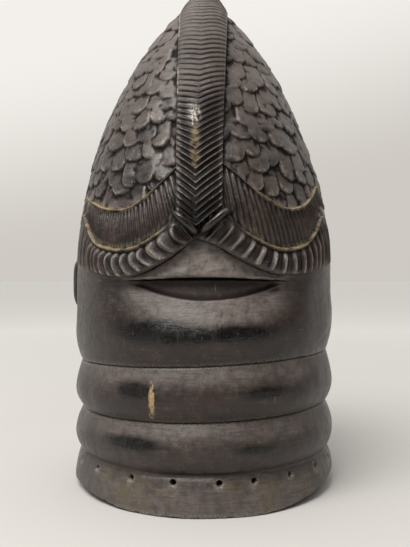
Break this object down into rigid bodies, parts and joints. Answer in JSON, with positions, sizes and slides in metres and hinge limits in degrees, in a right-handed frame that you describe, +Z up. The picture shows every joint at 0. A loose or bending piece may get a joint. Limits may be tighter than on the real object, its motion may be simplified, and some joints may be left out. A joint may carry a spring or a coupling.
{
  "type": "helmet mask",
  "caption": "Carved wooden helmet mask, hollow for a head: ringed neck, calm face, lobed hair bands, scaled crown and a chevron crest.",
  "frame": {"origin": "middle of the bounding box at its base, on the surface that the rim stands on", "axes": "+Z up through the crown; +Y out of the back of the head, the side with the crest's foot and the slit; -Y the way the face looks; +X towards the mask's own left ear"},
  "size_m": [0.2349, 0.2554, 0.4201],
  "materials": {
    "stained_wood": "very dark brown-black stained and oiled wood, polished on the rings, worn tan on the raised edges of the hair, scuffed along the rim"
  },
  "bodies": {
    "root": {"helmet_mask": "stained_wood"}
  },
  "joints": []
}
